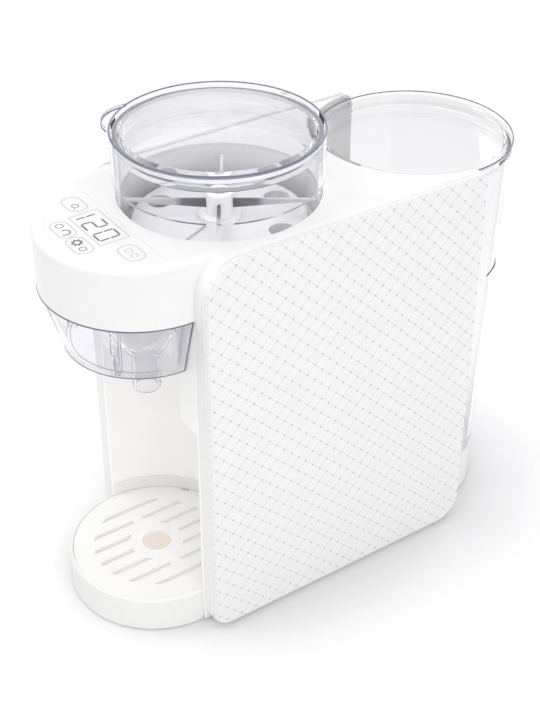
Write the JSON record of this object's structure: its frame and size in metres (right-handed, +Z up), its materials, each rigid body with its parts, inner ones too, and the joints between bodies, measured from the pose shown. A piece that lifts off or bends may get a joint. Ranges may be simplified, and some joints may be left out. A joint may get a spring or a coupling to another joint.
{
  "type": "baby formula maker",
  "caption": "Countertop appliance that doses formula powder from a clear bowl, mixes it with warm water from a clear tank and pours it into a bottle on a drip tray.",
  "frame": {"origin": "middle of the bounding box in X and Y, on the table in Z", "axes": "+X to the right as a person faces the front, +Y to the back, +Z up; the round head, the nozzle and the drip tray face -Y"},
  "size_m": [0.156, 0.3508, 0.337],
  "materials": {
    "white_plastic": "gloss white moulded plastic",
    "panel_plastic": "white panel with a fine printed lattice under a gloss film",
    "clear_plastic": "clear moulded plastic",
    "soft_white": "satin white moulded plastic",
    "inner_plastic": "grey-white moulded plastic",
    "dark_plastic": "dark grey moulded plastic",
    "gear_plastic": "ivory moulded plastic",
    "seal_rubber": "grey silicone rubber",
    "foot_rubber": "black rubber",
    "hose_rubber": "translucent silicone tube",
    "steel": "bright steel",
    "brass": "plain brass",
    "board": "green circuit board",
    "film": "gloss white touch film"
  },
  "bodies": {
    "machine": {"base_plate": "soft_white", "rubber_feet": "foot_rubber", "base_screws": "steel", "left_housing": "white_plastic", "right_housing": "white_plastic", "case_screws": "steel", "left_panel": "panel_plastic", "right_panel": "panel_plastic", "top_cover": "white_plastic", "head_floor": "white_plastic", "recess_liner": "white_plastic", "rear_cover": "white_plastic", "bowl_well": "white_plastic", "control_film": "film", "display_board": "board", "display_digits": "dark_plastic", "motor_bracket": "steel", "dosing_motor": "steel", "powder_chute": "soft_white", "water_spout": "soft_white", "water_pump": "dark_plastic", "water_heater": "steel", "heater_clamp": "inner_plastic", "supply_hose": "hose_rubber", "pressure_hose": "hose_rubber", "outlet_hose": "hose_rubber", "main_board": "board", "power_inlet": "dark_plastic", "tank_dock": "white_plastic", "dock_seal": "seal_rubber"},
    "drive": {"drive_gear": "gear_plastic"},
    "pinion": {"motor_pinion": "brass"},
    "bowl": {"powder_bowl": "clear_plastic", "scraper_plate": "inner_plastic"},
    "rotor": {"metering_wheel": "inner_plastic", "stirrer": "soft_white", "hub_nut": "steel"},
    "bowl_lid": {"powder_lid": "clear_plastic", "lid_seal": "seal_rubber"},
    "tank": {"water_tank": "clear_plastic", "valve_cage": "soft_white", "valve_spring": "steel"},
    "valve": {"tank_valve": "inner_plastic", "valve_washer": "seal_rubber"},
    "tank_cover": {"tank_lid": "clear_plastic"},
    "funnel": {"funnel_cover": "clear_plastic", "mixing_funnel": "clear_plastic"},
    "tray": {"drip_tray": "white_plastic"},
    "grille": {"drip_grille": "soft_white"}
  },
  "joints": [
    {"name": "drive_turn", "type": "hinge", "parent": "machine", "child": "drive", "pos_m": [0, -0.0506, 0.258], "axis": [0, 0, 1], "continuous": true},
    {"name": "pinion_turn", "type": "hinge", "parent": "machine", "child": "pinion", "pos_m": [0, -0.0185, 0.258], "axis": [0, 0, 1], "continuous": true},
    {"name": "bowl_lift", "type": "slide", "parent": "machine", "child": "bowl", "axis": [0, 0, 1], "range_m": [0, 0.05]},
    {"name": "rotor_turn", "type": "hinge", "parent": "bowl", "child": "rotor", "pos_m": [0, -0.0506, 0.27], "axis": [0, 0, 1], "continuous": true},
    {"name": "bowl_lid_lift", "type": "slide", "parent": "bowl", "child": "bowl_lid", "axis": [0, 0, 1], "range_m": [0, 0.05]},
    {"name": "tank_lift", "type": "slide", "parent": "machine", "child": "tank", "axis": [0, 0, 1], "range_m": [0, 0.05]},
    {"name": "valve_slide", "type": "slide", "parent": "tank", "child": "valve", "axis": [0, 0, 1], "range_m": [-0.003, 0], "deforming": ["valve_spring"]},
    {"name": "tank_lid_lift", "type": "slide", "parent": "tank", "child": "tank_cover", "axis": [0, 0, 1], "range_m": [0, 0.04]},
    {"name": "funnel_slide", "type": "slide", "parent": "machine", "child": "funnel", "axis": [0, -1, 0], "range_m": [0, 0.11]},
    {"name": "tray_slide", "type": "slide", "parent": "machine", "child": "tray", "axis": [0, -1, 0], "range_m": [0, 0.08]},
    {"name": "grille_lift", "type": "slide", "parent": "tray", "child": "grille", "axis": [0, 0, 1], "range_m": [0, 0.03]}
  ],
  "couplings": [
    {"joint": "pinion_turn", "follows": "drive_turn", "ratio": -3},
    {"joint": "rotor_turn", "follows": "drive_turn", "ratio": 1},
    {"joint": "valve_slide", "follows": "tank_lift", "ratio": -0.06}
  ]
}
